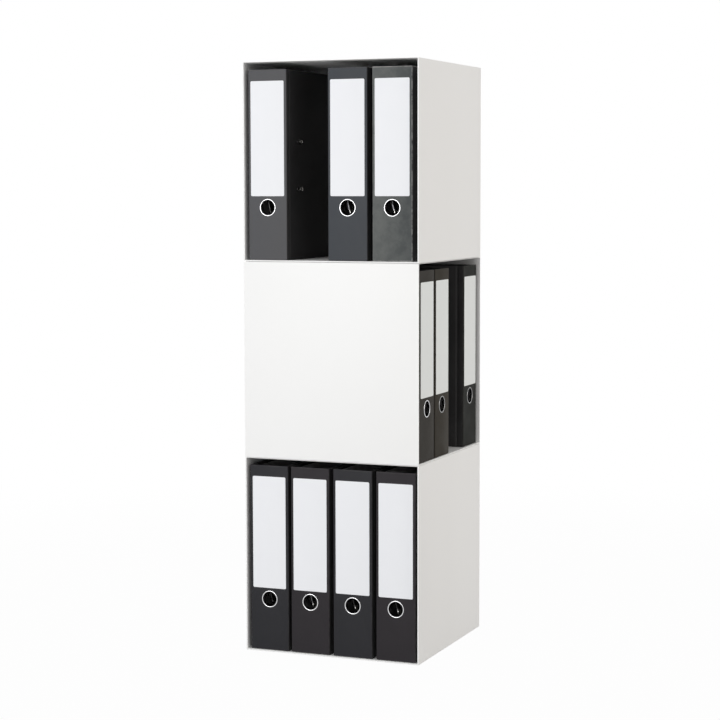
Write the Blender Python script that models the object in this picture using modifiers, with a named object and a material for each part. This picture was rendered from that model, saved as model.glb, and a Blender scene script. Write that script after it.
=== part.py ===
"""File shelf: a tower of three sheet-steel boxes that turn on one another, with lever-arch binders.

Metres, +Z up. The origin is on the floor, at the middle of the square footprint. The top and bottom
boxes open to -Y, and the middle one, turned by a quarter, opens to +X.
"""

import math

import bmesh
import bpy
from mathutils import Matrix, Vector

# Binder for A4 paper
BINDER_HEIGHT = 0.318
BINDER_DEPTH = 0.285
BINDER_WIDTH = 0.070
BOARD = 0.0023
SPINE_EDGE_RADIUS = 0.0018
CREASE_BACK = 0.0110
CREASE_WIDTH = 0.0030
CREASE_DEPTH = 0.0008

# Label on the spine, set out from the spine's edges
LABEL_SIDE_MARGIN = 0.0045
LABEL_FOOT = 0.1070
LABEL_HEAD = 0.0190
LABEL_THICKNESS = 0.0003
LABEL_CORNER_RADIUS = 0.0020

# Finger ring in the spine
RING_RISE = 0.0880
RING_OUTER_RADIUS = 0.0145
RING_HOLE_RADIUS = 0.0125
RING_WALL = 0.0005
RING_CROWN = 0.0012

# Lever arch on the back board: depths are from the spine's face, rises from the board
ARCH_SPACING = 0.0800
ARCH_BACK = 0.0560
ARCH_RADIUS = 0.0190
ARCH_BELOW_FACE = 0.0003
WIRE_RADIUS = 0.0020
SHAFT_RISE = 0.0060
SHAFT_BEND_RADIUS = 0.0040
PLATE_FRONT = 0.0160
PLATE_BACK = 0.0800
PLATE_LENGTH = 0.1600
PLATE_THICKNESS = 0.0012
PLATE_CORNER_RADIUS = 0.0060
LEVER_BACK = 0.0240
LEVER_WIDTH = 0.0140
LEVER_LENGTH = 0.0840
LEVER_SHEET = 0.0012
LEVER_ROOT_FLANGE = 0.0055
LEVER_TIP_FLANGE = 0.0022
LEVER_ROOT_RISE = 0.0120
LEVER_TILT = math.radians(13)
CHEEK_LENGTH = 0.0180
LUG_LENGTH = 0.0060
RIVET_SPACING = 0.1420
RIVET_RADIUS = 0.0022
RIVET_HEAD_RADIUS = 0.0040
RIVET_HEAD = 0.0005
SLOT_CLEARANCE = 0.0010

# Box
SHEET = 0.0020
BEND_RADIUS = 0.0024
SLOTS = 4
SLOT_GAP = 0.0070
SIDE_ROOM = 0.0050
HEAD_ROOM = 0.0107
FRONT_RECESS = 0.0045
BACK_ROOM = 0.0100
BACK_FLANGE = 0.0120

# Swivel between two boxes
SWIVEL_GAP = 0.0005
DISC_THICKNESS = 0.0003
DISC_RADIUS = 0.1250
COLLAR_WALL = 0.0022
JOURNAL_RADIUS = 0.0080
STUD_HEAD_RADIUS = 0.0140
THREAD_RADIUS = 0.0059
WASHER_RADIUS = 0.0180
WASHER_THICKNESS = 0.0015
NUT_ACROSS_FLATS = 0.0180
NUT_THICKNESS = 0.0042
THREAD_PAST_NUT = 0.0004

# Clearances
SEAT = 0.0003
THIN_SEAT = 0.0001
WELD = 0.000001
OVERLAP = 0.0004

# How finely round shapes are faceted
BEND_SEGMENTS = 3
CORNER_SEGMENTS = 2
ARCH_SEGMENTS = 6
RING_STEPS = 16
RIVET_STEPS = 6
SLOT_SEGMENTS = 4
SWIVEL_STEPS = 18

# Boxes from the floor up: name, quarter turns, and for each binder its slot, its shift across the slot
# and how far its spine stands behind the front edge
BOXES = (
    ("bottom", 0, ((0, 0.0005, 0.0040), (1, -0.0010, 0.0040), (2, -0.0005, 0.0040), (3, 0.0, 0.0040))),
    ("middle", 1, ((0, 0.0030, 0.0020), (1, 0.0, 0.0020), (3, -0.0015, 0.0045))),
    ("top", 0, ((0, 0.0010, 0.0045), (2, -0.0080, 0.0045), (3, -0.0055, 0.0035))),
)

# Sizes that follow
SLOTS_WIDTH = SLOTS * BINDER_WIDTH + (SLOTS - 1) * SLOT_GAP + 2 * (SIDE_ROOM + SHEET)
SLOTS_DEPTH = FRONT_RECESS + BINDER_DEPTH + BACK_ROOM + BACK_FLANGE
BOX_SIDE = max(SLOTS_WIDTH, SLOTS_DEPTH)
BOX_HEIGHT = SHEET + SEAT + BINDER_HEIGHT + HEAD_ROOM + SHEET
BOX_PITCH = BOX_HEIGHT + SWIVEL_GAP
INNER_SIDE = BOX_SIDE - 2 * SHEET
INNER_HEIGHT = BOX_HEIGHT - 2 * SHEET
SLOT_PITCH = (INNER_SIDE - 2 * SIDE_ROOM - BINDER_WIDTH) / (SLOTS - 1)
LABEL_WIDTH = BINDER_WIDTH - 2 * LABEL_SIDE_MARGIN
LABEL_HEIGHT = BINDER_HEIGHT - LABEL_FOOT - LABEL_HEAD
ARCH_CENTRE_RISE = BINDER_WIDTH - BOARD - ARCH_BELOW_FACE - WIRE_RADIUS - ARCH_RADIUS
PLATE_TOP = SEAT + PLATE_THICKNESS
RING_BARREL_RADIUS = RING_HOLE_RADIUS + RING_WALL
COLLAR_BORE_RADIUS = JOURNAL_RADIUS + SEAT
COLLAR_RADIUS = COLLAR_BORE_RADIUS + COLLAR_WALL


def clear_scene():
    for obj in list(bpy.data.objects):
        bpy.data.objects.remove(obj)


def new_collection(name):
    collection = bpy.data.collections.new(name)
    bpy.context.scene.collection.children.link(collection)
    return collection


def new_material(name, colour, roughness, metallic=0.0):
    material = bpy.data.materials.new(name)
    material.use_nodes = True
    shader = material.node_tree.nodes["Principled BSDF"]
    shader.inputs["Base Color"].default_value = (*colour, 1.0)
    shader.inputs["Roughness"].default_value = roughness
    shader.inputs["Metallic"].default_value = metallic
    return material


def helper(data):
    """A guide or cutter: it shapes other pieces and isn't one itself."""
    obj = bpy.data.objects.new("helper", data)
    obj.hide_render = True
    obj.display_type = "WIRE"
    HELPERS.objects.link(obj)
    return obj


def settled(guide):
    """The mesh that a guide evaluates to, welded. The guide is removed."""
    graph = bpy.context.evaluated_depsgraph_get()
    mesh = bpy.data.meshes.new_from_object(guide.evaluated_get(graph))
    shape = bmesh.new()
    shape.from_mesh(mesh)
    bmesh.ops.remove_doubles(shape, verts=shape.verts, dist=WELD)
    shape.to_mesh(mesh)
    shape.free()
    bpy.data.objects.remove(guide)
    return mesh


def combined(mesh, operation, others):
    """The mesh after a Boolean with each of the other meshes, all in one frame."""
    base = helper(mesh)
    guides = [helper(other) for other in others]
    for guide in guides:
        modifier = base.modifiers.new(operation.lower(), "BOOLEAN")
        modifier.operation = operation
        modifier.solver = "EXACT"
        modifier.object = guide
    result = settled(base)
    for guide in guides:
        bpy.data.objects.remove(guide)
    return result


def moved(mesh, *matrices):
    """The mesh after each matrix in turn."""
    for matrix in matrices:
        mesh.transform(matrix)
    return mesh


def arc(centre, radius, start, end, segments):
    """Points on an arc, with its angles in degrees and both ends included."""
    angles = [math.radians(start + (end - start) * i / segments) for i in range(segments + 1)]
    return [(centre[0] + radius * math.cos(a), centre[1] + radius * math.sin(a)) for a in angles]


def rounded_rectangle(width, height, radius, segments):
    x = width / 2 - radius
    y = height / 2 - radius
    corners = (((x, -y), -90), ((x, y), 0), ((-x, y), 90), ((-x, -y), 180))
    return [p for centre, start in corners for p in arc(centre, radius, start, start + 90, segments)]


def circle(radius, steps):
    return arc((0, 0), radius, 0, 360, steps)[:-1]


def flat_piece(thickness, *outlines):
    """A plate centred on Z. The first outline is its edge, and any others are holes in it."""
    curve = bpy.data.curves.new("outline", "CURVE")
    curve.dimensions = "2D"
    curve.fill_mode = "BOTH"
    curve.extrude = thickness / 2
    for outline in outlines:
        spline = curve.splines.new("POLY")
        spline.points.add(len(outline) - 1)
        for point, (x, y) in zip(spline.points, outline):
            point.co = (x, y, 0, 1)
        spline.use_cyclic_u = True
    return settled(helper(curve))


def block(low, high):
    low = Vector(low)
    high = Vector(high)
    shape = bmesh.new()
    place = Matrix.Translation((low + high) / 2) @ Matrix.Diagonal((*(high - low), 1))
    bmesh.ops.create_cube(shape, size=1, matrix=place)
    mesh = bpy.data.meshes.new("block")
    shape.to_mesh(mesh)
    shape.free()
    return mesh


def turned(profile, steps):
    """A profile of (radius, height) points turned about Z, its outer side listed from the top down."""
    edges = [(i, i + 1) for i in range(len(profile) - 1)]
    if profile[0][0] > 0:
        edges.append((len(profile) - 1, 0))
    mesh = bpy.data.meshes.new("profile")
    mesh.from_pydata([(radius, 0, height) for radius, height in profile], edges, [])
    guide = helper(mesh)
    screw = guide.modifiers.new("turn", "SCREW")
    screw.steps = steps
    screw.render_steps = steps
    screw.use_merge_vertices = True
    screw.merge_threshold = WELD
    return settled(guide)


def wire(path, radius):
    """A round wire along a path of points, with closed ends."""
    curve = bpy.data.curves.new("wire", "CURVE")
    curve.dimensions = "3D"
    curve.bevel_depth = radius
    curve.bevel_resolution = 1
    curve.use_fill_caps = True
    spline = curve.splines.new("POLY")
    spline.points.add(len(path) - 1)
    for point, place in zip(spline.points, path):
        point.co = (*place, 1)
    return settled(helper(curve))


def add_piece(name, mesh, material, parent, location=(0, 0, 0), rotation=(0, 0, 0)):
    """A named piece of the object, placed from its parent. Copies of a mesh share it."""
    obj = bpy.data.objects.new(name, mesh)
    if not mesh.materials:
        mesh.materials.append(material)
    obj.parent = parent
    obj.location = location
    obj.rotation_euler = rotation
    PARTS.objects.link(obj)
    return obj


def add_empty(name, parent, location, turn=0.0):
    obj = bpy.data.objects.new(name, None)
    obj.empty_display_size = BINDER_WIDTH
    obj.parent = parent
    obj.location = location
    obj.rotation_euler = (0, 0, turn)
    PARTS.objects.link(obj)
    return obj


# Box


def stud_head_profile(clearance):
    """The stud's thin countersunk head, from the upper floor's inner face down to its underside."""
    return [(STUD_HEAD_RADIUS + clearance, SHEET), (STUD_HEAD_RADIUS - SHEET + clearance, 0)]


def floor_hole():
    """The countersunk hole that the stud's head lies in, with the floor's underside at zero."""
    (top_radius, top), (foot_radius, foot) = stud_head_profile(SEAT)
    slope = (top_radius - foot_radius) / (top - foot)
    past = SHEET
    profile = [
        (0, top + past),
        (top_radius + slope * past, top + past),
        (foot_radius - slope * past, foot - past),
        (0, foot - past),
    ]
    return turned(profile, SWIVEL_STEPS)


def ceiling_hole():
    """The plain hole that the slip disc's collar lines, with the floor's underside at zero."""
    radius = COLLAR_RADIUS + SEAT
    low = BOX_HEIGHT - 2 * SHEET
    high = BOX_HEIGHT + SHEET
    return turned([(0, high), (radius, high), (radius, low), (0, low)], SWIVEL_STEPS)


def box_shell(holes):
    """Floor, sides and ceiling folded from one sheet, open at the front and the rear."""
    outline = rounded_rectangle(BOX_SIDE, BOX_HEIGHT, BEND_RADIUS, BEND_SEGMENTS)
    shape = bmesh.new()
    rim = [shape.verts.new((x, -BOX_SIDE / 2, z + BOX_HEIGHT / 2)) for x, z in outline]
    edges = [shape.edges.new((rim[i - 1], rim[i])) for i in range(len(rim))]
    grown = bmesh.ops.extrude_edge_only(shape, edges=edges)["geom"]
    rear_rim = [item for item in grown if isinstance(item, bmesh.types.BMVert)]
    bmesh.ops.translate(shape, verts=rear_rim, vec=(0, BOX_SIDE, 0))
    bmesh.ops.recalc_face_normals(shape, faces=shape.faces)
    mesh = bpy.data.meshes.new("box_shell")
    shape.to_mesh(mesh)
    shape.free()
    guide = helper(mesh)
    solidify = guide.modifiers.new("sheet", "SOLIDIFY")
    solidify.thickness = SHEET
    solidify.offset = -1
    solidify.use_even_offset = True
    return combined(settled(guide), "DIFFERENCE", holes)


def back_panel():
    """A tray that stands in the shell's rear end, with its flanges folded forward."""
    size = (INNER_SIDE - 2 * SEAT, BACK_FLANGE, INNER_HEIGHT - 2 * SEAT)
    shape = bmesh.new()
    bmesh.ops.create_cube(shape, size=1, matrix=Matrix.Diagonal((*size, 1)))
    front = [face for face in shape.faces if face.normal.y < -0.5]
    bmesh.ops.delete(shape, geom=front, context="FACES_ONLY")
    folds = [edge for edge in shape.edges if not edge.is_boundary]
    bmesh.ops.bevel(
        shape, geom=folds, offset=BEND_RADIUS, segments=CORNER_SEGMENTS, profile=0.5, affect="EDGES"
    )
    mesh = bpy.data.meshes.new("back_panel")
    shape.to_mesh(mesh)
    shape.free()
    guide = helper(mesh)
    solidify = guide.modifiers.new("sheet", "SOLIDIFY")
    solidify.thickness = SHEET
    solidify.offset = -1
    solidify.use_even_offset = True
    return settled(guide)


# Swivel, with the upper floor's underside at zero


def swivel_stud():
    shoulder = -SWIVEL_GAP - SHEET - SEAT
    nut_foot = shoulder - SEAT - WASHER_THICKNESS - SEAT - NUT_THICKNESS
    tip = nut_foot - THREAD_PAST_NUT
    chamfer = THREAD_PAST_NUT
    (top_radius, top), (foot_radius, foot) = stud_head_profile(0)
    profile = [
        (0, top - THIN_SEAT),
        (top_radius - THIN_SEAT, top - THIN_SEAT),
        (foot_radius, foot),
        (JOURNAL_RADIUS, foot),
        (JOURNAL_RADIUS, shoulder),
        (THREAD_RADIUS, shoulder),
        (THREAD_RADIUS, tip + chamfer),
        (THREAD_RADIUS - chamfer, tip),
        (0, tip),
    ]
    return turned(profile, SWIVEL_STEPS)


def slip_disc():
    top = -(SWIVEL_GAP - DISC_THICKNESS) / 2
    underside = top - DISC_THICKNESS
    collar_foot = -SWIVEL_GAP - SHEET
    profile = [
        (DISC_RADIUS, top),
        (DISC_RADIUS, underside),
        (COLLAR_RADIUS, underside),
        (COLLAR_RADIUS, collar_foot),
        (COLLAR_BORE_RADIUS, collar_foot),
        (COLLAR_BORE_RADIUS, top),
    ]
    return turned(profile, SWIVEL_STEPS)


def washer():
    bore = circle(THREAD_RADIUS + SEAT, SWIVEL_STEPS)
    return flat_piece(WASHER_THICKNESS, circle(WASHER_RADIUS, SWIVEL_STEPS), bore)


def nut():
    corner_radius = NUT_ACROSS_FLATS / (2 * math.cos(math.radians(30)))
    return flat_piece(NUT_THICKNESS, circle(corner_radius, 6), circle(THREAD_RADIUS + SEAT, SWIVEL_STEPS))


def add_swivel(name, upper_box, lower_box):
    shoulder = -SWIVEL_GAP - SHEET - SEAT
    washer_middle = shoulder - SEAT - WASHER_THICKNESS / 2
    nut_middle = washer_middle - WASHER_THICKNESS / 2 - SEAT - NUT_THICKNESS / 2
    add_piece(f"{name}_swivel_stud", swivel_stud(), STEEL, upper_box)
    add_piece(f"{name}_swivel_washer", washer(), STEEL, upper_box, (0, 0, washer_middle))
    add_piece(f"{name}_swivel_nut", nut(), STEEL, upper_box, (0, 0, nut_middle))
    add_piece(f"{name}_slip_disc", slip_disc(), SLIP_PLASTIC, lower_box, (0, 0, BOX_PITCH))


# Binder, with its origin under the middle of the spine's face: X across, Y into the box


def cover_outline():
    """The cover seen from above: spine, rounded edges and two boards with a crease each."""
    half = BINDER_WIDTH / 2
    edge = SPINE_EDGE_RADIUS
    right = arc((half - edge, edge), edge, -90, 0, BEND_SEGMENTS) + [
        (half, CREASE_BACK - CREASE_WIDTH / 2),
        (half - CREASE_DEPTH, CREASE_BACK),
        (half, CREASE_BACK + CREASE_WIDTH / 2),
        (half, BINDER_DEPTH),
        (half - BOARD, BINDER_DEPTH),
        (half - BOARD, BOARD),
    ]
    return right + [(-x, y) for x, y in reversed(right)]


def ring_hole():
    radius = RING_BARREL_RADIUS + SEAT
    depth = 2 * BOARD
    plug = turned([(0, depth), (radius, depth), (radius, -depth), (0, -depth)], RING_STEPS)
    return moved(plug, Matrix.Rotation(math.radians(90), 4, "X"), Matrix.Translation((0, 0, RING_RISE)))


def locking_slot(side):
    """The slot in the front board that an arch's crown reaches into."""
    inner_face_rise = BINDER_WIDTH - 2 * BOARD - ARCH_CENTRE_RISE
    outer_radius = ARCH_RADIUS + WIRE_RADIUS
    reach = math.sqrt(outer_radius**2 - inner_face_rise**2) + SLOT_CLEARANCE
    round_end = WIRE_RADIUS + SLOT_CLEARANCE
    run = reach - round_end / 2
    fore_end = arc((run, 0), round_end, -90, 90, SLOT_SEGMENTS)
    spine_end = arc((-run, 0), round_end, 90, 270, SLOT_SEGMENTS)
    plug = flat_piece(4 * BOARD, fore_end + spine_end)
    rise = BINDER_HEIGHT / 2 + side * ARCH_SPACING / 2
    return moved(plug, ACROSS, Matrix.Translation((BINDER_WIDTH / 2, ARCH_BACK, rise)))


def rivet_hole(side):
    radius = RIVET_RADIUS + SEAT
    plug = turned([(0, BOARD), (radius, BOARD), (radius, -2 * BOARD), (0, -2 * BOARD)], RIVET_STEPS)
    return moved(plug, Matrix.Translation(rivet_place(side)), ACROSS, ONTO_BACK_BOARD)


def cover():
    board = moved(flat_piece(BINDER_HEIGHT, cover_outline()), Matrix.Translation((0, 0, BINDER_HEIGHT / 2)))
    holes = [ring_hole()]
    for side in (1, -1):
        holes.append(locking_slot(side))
        holes.append(rivet_hole(side))
    return combined(board, "DIFFERENCE", holes)


def finger_ring():
    """A two-lipped eyelet. Heights are from the spine's face, outwards."""
    inner_face = -BOARD
    profile = [
        (RING_OUTER_RADIUS - RING_WALL, RING_CROWN),
        (RING_OUTER_RADIUS, THIN_SEAT),
        (RING_BARREL_RADIUS, THIN_SEAT),
        (RING_BARREL_RADIUS, inner_face - THIN_SEAT),
        (RING_OUTER_RADIUS - RING_WALL, inner_face - THIN_SEAT),
        (RING_HOLE_RADIUS, inner_face - RING_CROWN),
        (RING_HOLE_RADIUS + RING_WALL / 2, RING_CROWN),
    ]
    return turned(profile, RING_STEPS)


# Lever arch, set out on the back board: X is depth, Y is up from mid-height, Z is rise from the board


def rivet_place(side):
    return ((PLATE_FRONT + PLATE_BACK) / 2, side * RIVET_SPACING / 2, 0)


def arch_path():
    """Post, arch and leg of the upper ring, the shaft, and the lower ring's leg, arch and post."""
    level = ARCH_SPACING / 2
    shaft_back = ARCH_BACK - ARCH_RADIUS
    bend = SHAFT_BEND_RADIUS
    crown = arc((ARCH_BACK, ARCH_CENTRE_RISE), ARCH_RADIUS, 0, 180, ARCH_SEGMENTS)
    elbow = arc((SHAFT_RISE + bend, level - bend), bend, 90, 180, CORNER_SEGMENTS)
    upper = [(ARCH_BACK + ARCH_RADIUS, level, PLATE_TOP - OVERLAP)]
    upper += [(back, level, rise) for back, rise in crown]
    upper += [(shaft_back, up, rise) for rise, up in elbow]
    return upper + [(back, -up, rise) for back, up, rise in reversed(upper)]


def shaft_lug(side):
    """A saddle that holds the shaft just inside each arch."""
    back = ARCH_BACK - ARCH_RADIUS
    half = WIRE_RADIUS + PLATE_THICKNESS
    middle = side * (ARCH_SPACING / 2 - SHAFT_BEND_RADIUS - LUG_LENGTH)
    return block(
        (back - half, middle - LUG_LENGTH / 2, PLATE_TOP - OVERLAP),
        (back + half, middle + LUG_LENGTH / 2, SHAFT_RISE + half),
    )


def lever_cheek(side):
    """One wall of the bracket that the lever turns in."""
    middle = LEVER_BACK + side * (LEVER_WIDTH / 2 + LEVER_SHEET / 2)
    return block(
        (middle - LEVER_SHEET, -CHEEK_LENGTH / 2, PLATE_TOP - OVERLAP),
        (middle + LEVER_SHEET, CHEEK_LENGTH / 2, LEVER_ROOT_RISE + LEVER_SHEET),
    )


def cam_link():
    """The link by which the lever turns the shaft."""
    return block(
        (LEVER_BACK, -LUG_LENGTH / 2, SHAFT_RISE - WIRE_RADIUS / 2),
        (ARCH_BACK - ARCH_RADIUS, LUG_LENGTH / 2, SHAFT_RISE + WIRE_RADIUS / 2),
    )


def lever():
    """A round-ended channel that slopes up from its bracket, its flanges tapered towards the tip."""
    half = LEVER_WIDTH / 2
    root = CHEEK_LENGTH / 2
    tip = half - LEVER_LENGTH
    outline = [(half, root), (-half, root)] + arc((0, tip), half, 180, 360, SLOT_SEGMENTS)
    flange_root = root - THIN_SEAT
    taper = [(tip, 0), (tip, -LEVER_TIP_FLANGE), (flange_root, -LEVER_ROOT_FLANGE), (flange_root, 0)]
    out = half - LEVER_SHEET / 2 - THIN_SEAT
    flanges = [
        moved(flat_piece(LEVER_SHEET, taper), ACROSS, Matrix.Translation((x, 0, 0))) for x in (-out, out)
    ]
    channel = combined(flat_piece(LEVER_SHEET, outline), "UNION", flanges)
    return moved(
        channel,
        Matrix.Rotation(-LEVER_TILT, 4, "X"),
        Matrix.Translation((LEVER_BACK, 0, LEVER_ROOT_RISE)),
    )


def rivet(side):
    """A rivet through the board, with its flat head outside."""
    head = -BOARD - THIN_SEAT
    profile = [
        (0, PLATE_TOP - OVERLAP),
        (RIVET_RADIUS, PLATE_TOP - OVERLAP),
        (RIVET_RADIUS, head),
        (RIVET_HEAD_RADIUS, head),
        (RIVET_HEAD_RADIUS, head - RIVET_HEAD),
        (0, head - RIVET_HEAD),
    ]
    return moved(turned(profile, RIVET_STEPS), Matrix.Translation(rivet_place(side)))


def lever_arch():
    width = PLATE_BACK - PLATE_FRONT
    outline = rounded_rectangle(width, PLATE_LENGTH, PLATE_CORNER_RADIUS, CORNER_SEGMENTS)
    middle = ((PLATE_FRONT + PLATE_BACK) / 2, 0, SEAT + PLATE_THICKNESS / 2)
    plate = moved(flat_piece(PLATE_THICKNESS, outline), Matrix.Translation(middle))
    others = [wire(arch_path(), WIRE_RADIUS), cam_link(), lever()]
    for side in (1, -1):
        others += [shaft_lug(side), lever_cheek(side), rivet(side)]
    return combined(plate, "UNION", others)


def binder_meshes():
    """The meshes that all binders share."""
    outline = rounded_rectangle(LABEL_WIDTH, LABEL_HEIGHT, LABEL_CORNER_RADIUS, CORNER_SEGMENTS)
    return {
        "cover": cover(),
        "label": flat_piece(LABEL_THICKNESS, outline),
        "finger_ring": finger_ring(),
        "lever_arch": moved(lever_arch(), ACROSS, ONTO_BACK_BOARD),
    }


def add_binder(name, meshes, stand):
    label_place = (0, -THIN_SEAT - LABEL_THICKNESS / 2, LABEL_FOOT + LABEL_HEIGHT / 2)
    upright = (math.radians(90), 0, 0)
    add_piece(f"{name}_cover", meshes["cover"], COVER_BOARD, stand)
    add_piece(f"{name}_label", meshes["label"], LABEL_PAPER, stand, label_place, upright)
    add_piece(f"{name}_finger_ring", meshes["finger_ring"], CHROME, stand, (0, 0, RING_RISE), upright)
    add_piece(f"{name}_lever_arch", meshes["lever_arch"], STEEL, stand)


def add_box(name, level, quarter_turns, binders, meshes):
    box = add_empty(f"{name}_box", None, (0, 0, level * BOX_PITCH), math.radians(90 * quarter_turns))
    holes = []
    if level > 0:
        holes.append(floor_hole())
    if level < len(BOXES) - 1:
        holes.append(ceiling_hole())
    add_piece(f"{name}_box_shell", box_shell(holes), WHITE_COAT, box)
    panel_place = (0, (BOX_SIDE - BACK_FLANGE) / 2, BOX_HEIGHT / 2)
    add_piece(f"{name}_box_back", back_panel(), WHITE_COAT, box, panel_place)
    first_slot = -SLOT_PITCH * (SLOTS - 1) / 2
    for number, (slot, shift, recess) in enumerate(binders, 1):
        place = (first_slot + slot * SLOT_PITCH + shift, recess - BOX_SIDE / 2, SHEET + SEAT)
        stand = add_empty(f"{name}_binder_{number}", box, place)
        add_binder(f"{name}_binder_{number}", meshes, stand)
    return box


# Turns a piece set out on a board, with Z as its rise, to stand upright in the binder's frame
ACROSS = Matrix.Rotation(math.radians(90), 4, "Z") @ Matrix.Rotation(math.radians(90), 4, "X")
ONTO_BACK_BOARD = Matrix.Translation((BOARD - BINDER_WIDTH / 2, 0, BINDER_HEIGHT / 2))

clear_scene()
PARTS = new_collection("file_shelf")
HELPERS = new_collection("helpers")
WHITE_COAT = new_material("white_coat", (0.86, 0.86, 0.85), 0.45)
COVER_BOARD = new_material("cover_board", (0.045, 0.045, 0.048), 0.5)
LABEL_PAPER = new_material("label_paper", (0.88, 0.89, 0.91), 0.7)
CHROME = new_material("chrome", (0.8, 0.8, 0.8), 0.12, 1.0)
STEEL = new_material("steel", (0.6, 0.6, 0.6), 0.3, 1.0)
SLIP_PLASTIC = new_material("slip_plastic", (0.8, 0.8, 0.78), 0.4)

MESHES = binder_meshes()
boxes = [add_box(name, i, turns, binders, MESHES) for i, (name, turns, binders) in enumerate(BOXES)]
add_swivel("lower", boxes[1], boxes[0])
add_swivel("upper", boxes[2], boxes[1])
bpy.data.collections.remove(HELPERS)
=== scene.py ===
"""Looks of the file shelf: a tower of three turning sheet-steel boxes with lever-arch binders.

Metres, +Z up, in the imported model's frame. Each box and each binder is set out in a frame of its own:
X across its opening, Y into it and Z up. The pieces of a binder share one frame, so that a finish can
tell where it is on the binder.
"""

import math

import bmesh
import bpy
from mathutils import Matrix, Vector


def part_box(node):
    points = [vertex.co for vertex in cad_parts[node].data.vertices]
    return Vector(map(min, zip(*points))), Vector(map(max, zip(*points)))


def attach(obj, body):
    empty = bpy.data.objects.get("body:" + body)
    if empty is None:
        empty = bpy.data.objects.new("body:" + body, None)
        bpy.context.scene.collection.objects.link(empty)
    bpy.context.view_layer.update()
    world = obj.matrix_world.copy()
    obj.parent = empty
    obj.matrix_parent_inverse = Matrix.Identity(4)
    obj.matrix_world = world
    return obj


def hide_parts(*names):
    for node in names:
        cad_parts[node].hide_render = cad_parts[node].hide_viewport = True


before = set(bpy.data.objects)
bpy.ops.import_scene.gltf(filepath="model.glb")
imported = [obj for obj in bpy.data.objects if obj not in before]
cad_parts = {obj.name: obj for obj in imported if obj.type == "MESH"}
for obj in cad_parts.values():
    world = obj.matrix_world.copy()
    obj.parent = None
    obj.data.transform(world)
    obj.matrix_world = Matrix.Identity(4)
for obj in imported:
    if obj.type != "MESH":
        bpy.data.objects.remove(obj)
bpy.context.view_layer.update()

# Boxes from the floor up: name, quarter turns and number of binders
BOXES = (("bottom", 0, 4), ("middle", 1, 3), ("top", 0, 3))
BOX_LOW, BOX_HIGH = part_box("bottom_box_shell")
BOX_SIDE = BOX_HIGH.x - BOX_LOW.x
BOX_HEIGHT = BOX_HIGH.z - BOX_LOW.z
SHEET = 0.0020
BEND_RADIUS = 0.0024
FOLD_ROUND = 0.0008
RIM_ROUND = 0.00015
BACK_FLANGE = 0.0120
# The ceiling's thin front edge, the run over which it thins, and the level strip behind that run
CEILING_EDGE = 0.0007
CEILING_TAPER = 0.0100
CEILING_STRIP = 0.0020

# Clearances: round a seated piece, and between faces that rest on one another
SEAT = 0.0003
THIN_SEAT = 0.0001
WELD = 0.000001

# Swivels: rises are from the upper floor's underside
SWIVEL_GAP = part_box("middle_box_shell")[0].z - BOX_HIGH.z
STUD_HEAD_RADIUS = 0.0140
STUD_EDGE = 0.0003
SOCKET_CORNER_RADIUS = 0.0046
SOCKET_DEPTH = 0.0030
JOURNAL_RADIUS = 0.0080
THREAD_RADIUS = 0.0059
WASHER_RADIUS = 0.0180
WASHER = 0.0015
NUT_CORNER_RADIUS = 0.0104
NUT = 0.0042
THREAD_PAST_NUT = 0.0004
DISC = 0.0003
DISC_RADIUS = 0.1250
COLLAR_BORE_RADIUS = JOURNAL_RADIUS + SEAT
COLLAR_WALL = 0.0022
COLLAR_RADIUS = COLLAR_BORE_RADIUS + COLLAR_WALL
SHOULDER = -SWIVEL_GAP - SHEET - SEAT
WASHER_MIDDLE = SHOULDER - SEAT - WASHER / 2
NUT_MIDDLE = WASHER_MIDDLE - WASHER / 2 - SEAT - NUT / 2
STUD_TIP = NUT_MIDDLE - NUT / 2 - THREAD_PAST_NUT

# Binder boards
WIDTH = 0.0700
DEPTH = 0.2850
HEIGHT = 0.3180
BOARD = 0.0023
CUT_REACH = 4 * BOARD
SPINE_EDGE_RADIUS = 0.0018
INNER_FILLET = 0.0012
CREASE_BACK = 0.0110
CREASE_WIDTH = 0.0036
CREASE_DEPTH = 0.0008
WRAP_ROUND = 0.0007
LINING = 0.00012
LINING_MARGIN = 0.0050
LINING_SPINE_MARGIN = 0.0040
LINING_CORNER = 0.0010

# Wear of the boards' film, partly a painted highlight on the edges, and the spine's painted sheen. A pair
# says where a change begins and ends: behind the spine's face, or, for the lighter strip, behind the far
# ridge of a crease
EDGE_WEAR_AND_HIGHLIGHT = 0.0016
EDGE_WEAR_AND_HIGHLIGHT_FADE = (0.0012, 0.0030)
END_WEAR = 0.0025
SPINE_SHEEN_FADE = (0.0004, 0.0018)
RIDGE_STRIP_COMES = (-0.0004, 0.0004)
RIDGE_STRIP_GOES = (0.0008, 0.0020)

# Label and finger ring on the spine
LABEL_WIDTH = 0.0610
LABEL_FOOT = 0.1070
LABEL_HEAD = 0.0190
LABEL_HEIGHT = HEIGHT - LABEL_FOOT - LABEL_HEAD
LABEL_MIDDLE = LABEL_FOOT + LABEL_HEIGHT / 2
LABEL_THICKNESS = 0.0003
LABEL_RIM = 0.00008
LABEL_CORNER = 0.0022
LABEL_GREY_EDGE = 0.0006
RING_RISE = 0.0880
RING_RADIUS = 0.0144
RING_HOLE = 0.0129
RING_BARREL = 0.0132
RING_CROWN = 0.0006
RING_INNER_LIP = 0.0016
RING_INNER_ROLL = 0.0009

# Lever arch, set out on the back board: depth, up from mid-height, rise from the board
ARCH_SPACING = 0.0800
ARCH_BACK = 0.0560
ARCH_RADIUS = 0.0190
ARCH_BELOW_FACE = 0.0003
WIRE_RADIUS = 0.0020
ARCH_RISE = WIDTH - BOARD - ARCH_BELOW_FACE - WIRE_RADIUS - ARCH_RADIUS
ARCH_OVER_POST = 0.0040
POST_RADIUS = 0.0023
POST_BELOW_ARCH = 0.0010
POST_CHAMFER = 0.0003
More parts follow.
